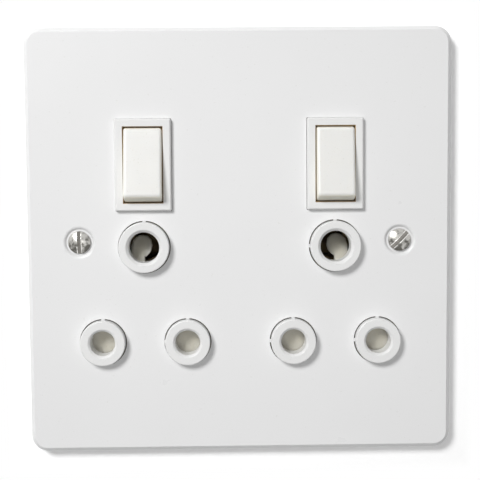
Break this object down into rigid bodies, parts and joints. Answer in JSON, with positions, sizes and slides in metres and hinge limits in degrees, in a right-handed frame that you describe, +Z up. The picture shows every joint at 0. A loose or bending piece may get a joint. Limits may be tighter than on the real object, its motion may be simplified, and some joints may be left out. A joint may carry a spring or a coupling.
{
  "type": "switched socket",
  "caption": "Square white metal-plate wall socket with round-pin outlets, each with its own rocker switch and sprung shutter, for a flush wall box.",
  "frame": {"origin": "middle of the cover plate on the wall surface, midway between the fixing screws", "axes": "+Z up, +X to the right seen from the front, +Y into the wall; the front faces -Y"},
  "size_m": [0.127, 0.0382, 0.127],
  "materials": {
    "plate_paint": "smooth white stoved enamel, soft gloss",
    "front_plastic": "white moulded urea, soft gloss",
    "rocker_plastic": "warm white moulded plastic, soft gloss",
    "rear_plastic": "dark phenolic moulding, matt",
    "shutter_plastic": "beige grey moulded plastic, matt",
    "nickel": "nickel plate, polished",
    "zinc_steel": "bright zinc plated steel",
    "spring_steel": "drawn spring wire",
    "brass": "rolled and turned brass",
    "copper_strip": "rolled copper strip with a silver button",
    "contact_silver": "silver contact face"
  },
  "bodies": {
    "housing": {"cover_plate": "plate_paint", "front_moulding": "front_plastic", "rear_moulding": "rear_plastic", "mounting_yoke": "zinc_steel", "fixing_screws": "nickel", "assembly_screws": "zinc_steel", "live_busbar": "brass", "fixed_contacts": "contact_silver", "neutral_busbar": "brass", "earth_busbar": "brass", "live_terminal": "brass", "neutral_terminal": "brass", "earth_terminal": "brass", "terminal_screws": "zinc_steel", "left_live_strip": "brass", "left_shutter_spring": "spring_steel", "right_live_strip": "brass", "right_shutter_spring": "spring_steel"},
    "left_rocker_body": {"left_rocker": "rocker_plastic", "left_rocker_spring": "spring_steel"},
    "left_plunger_body": {"left_plunger": "shutter_plastic"},
    "left_contact_body": {"left_contact_arm": "copper_strip"},
    "left_shutter_body": {"left_shutter": "shutter_plastic"},
    "right_rocker_body": {"right_rocker": "rocker_plastic", "right_rocker_spring": "spring_steel"},
    "right_plunger_body": {"right_plunger": "shutter_plastic"},
    "right_contact_body": {"right_contact_arm": "copper_strip"},
    "right_shutter_body": {"right_shutter": "shutter_plastic"}
  },
  "joints": [
    {"name": "left_rocker_tilt", "type": "hinge", "parent": "housing", "child": "left_rocker_body", "pos_m": [-0.02857, -0.0042, 0.0229], "axis": [1, 0, 0], "range_deg": [0, 18]},
    {"name": "left_plunger_slide", "type": "slide", "parent": "left_rocker_body", "child": "left_plunger_body", "axis": [0, -0.9877, 0.1564], "range_m": [0, 0.0006], "stiffness_N_per_m": 600, "springref_m": -0.002, "deforming": ["left_rocker_spring"]},
    {"name": "left_contact_tilt", "type": "hinge", "parent": "housing", "child": "left_contact_body", "pos_m": [-0.02857, 0.00955, 0.0229], "axis": [1, 0, 0], "range_deg": [-18, 0]},
    {"name": "left_shutter_slide", "type": "slide", "parent": "housing", "child": "left_shutter_body", "axis": [0, 0, -1], "range_m": [0, 0.0077], "stiffness_N_per_m": 80, "springref_m": -0.006, "deforming": ["left_shutter_spring"]},
    {"name": "right_rocker_tilt", "type": "hinge", "parent": "housing", "child": "right_rocker_body", "pos_m": [0.02857, -0.0042, 0.0229], "axis": [1, 0, 0], "range_deg": [0, 18]},
    {"name": "right_plunger_slide", "type": "slide", "parent": "right_rocker_body", "child": "right_plunger_body", "axis": [0, -0.9877, 0.1564], "range_m": [0, 0.0006], "stiffness_N_per_m": 600, "springref_m": -0.002, "deforming": ["right_rocker_spring"]},
    {"name": "right_contact_tilt", "type": "hinge", "parent": "housing", "child": "right_contact_body", "pos_m": [0.02857, 0.00955, 0.0229], "axis": [1, 0, 0], "range_deg": [-18, 0]},
    {"name": "right_shutter_slide", "type": "slide", "parent": "housing", "child": "right_shutter_body", "axis": [0, 0, -1], "range_m": [0, 0.0077], "stiffness_N_per_m": 80, "springref_m": -0.006, "deforming": ["right_shutter_spring"]}
  ],
  "couplings": [
    {"joint": "left_contact_tilt", "follows": "left_rocker_tilt", "ratio": -1},
    {"joint": "right_contact_tilt", "follows": "right_rocker_tilt", "ratio": -1}
  ]
}
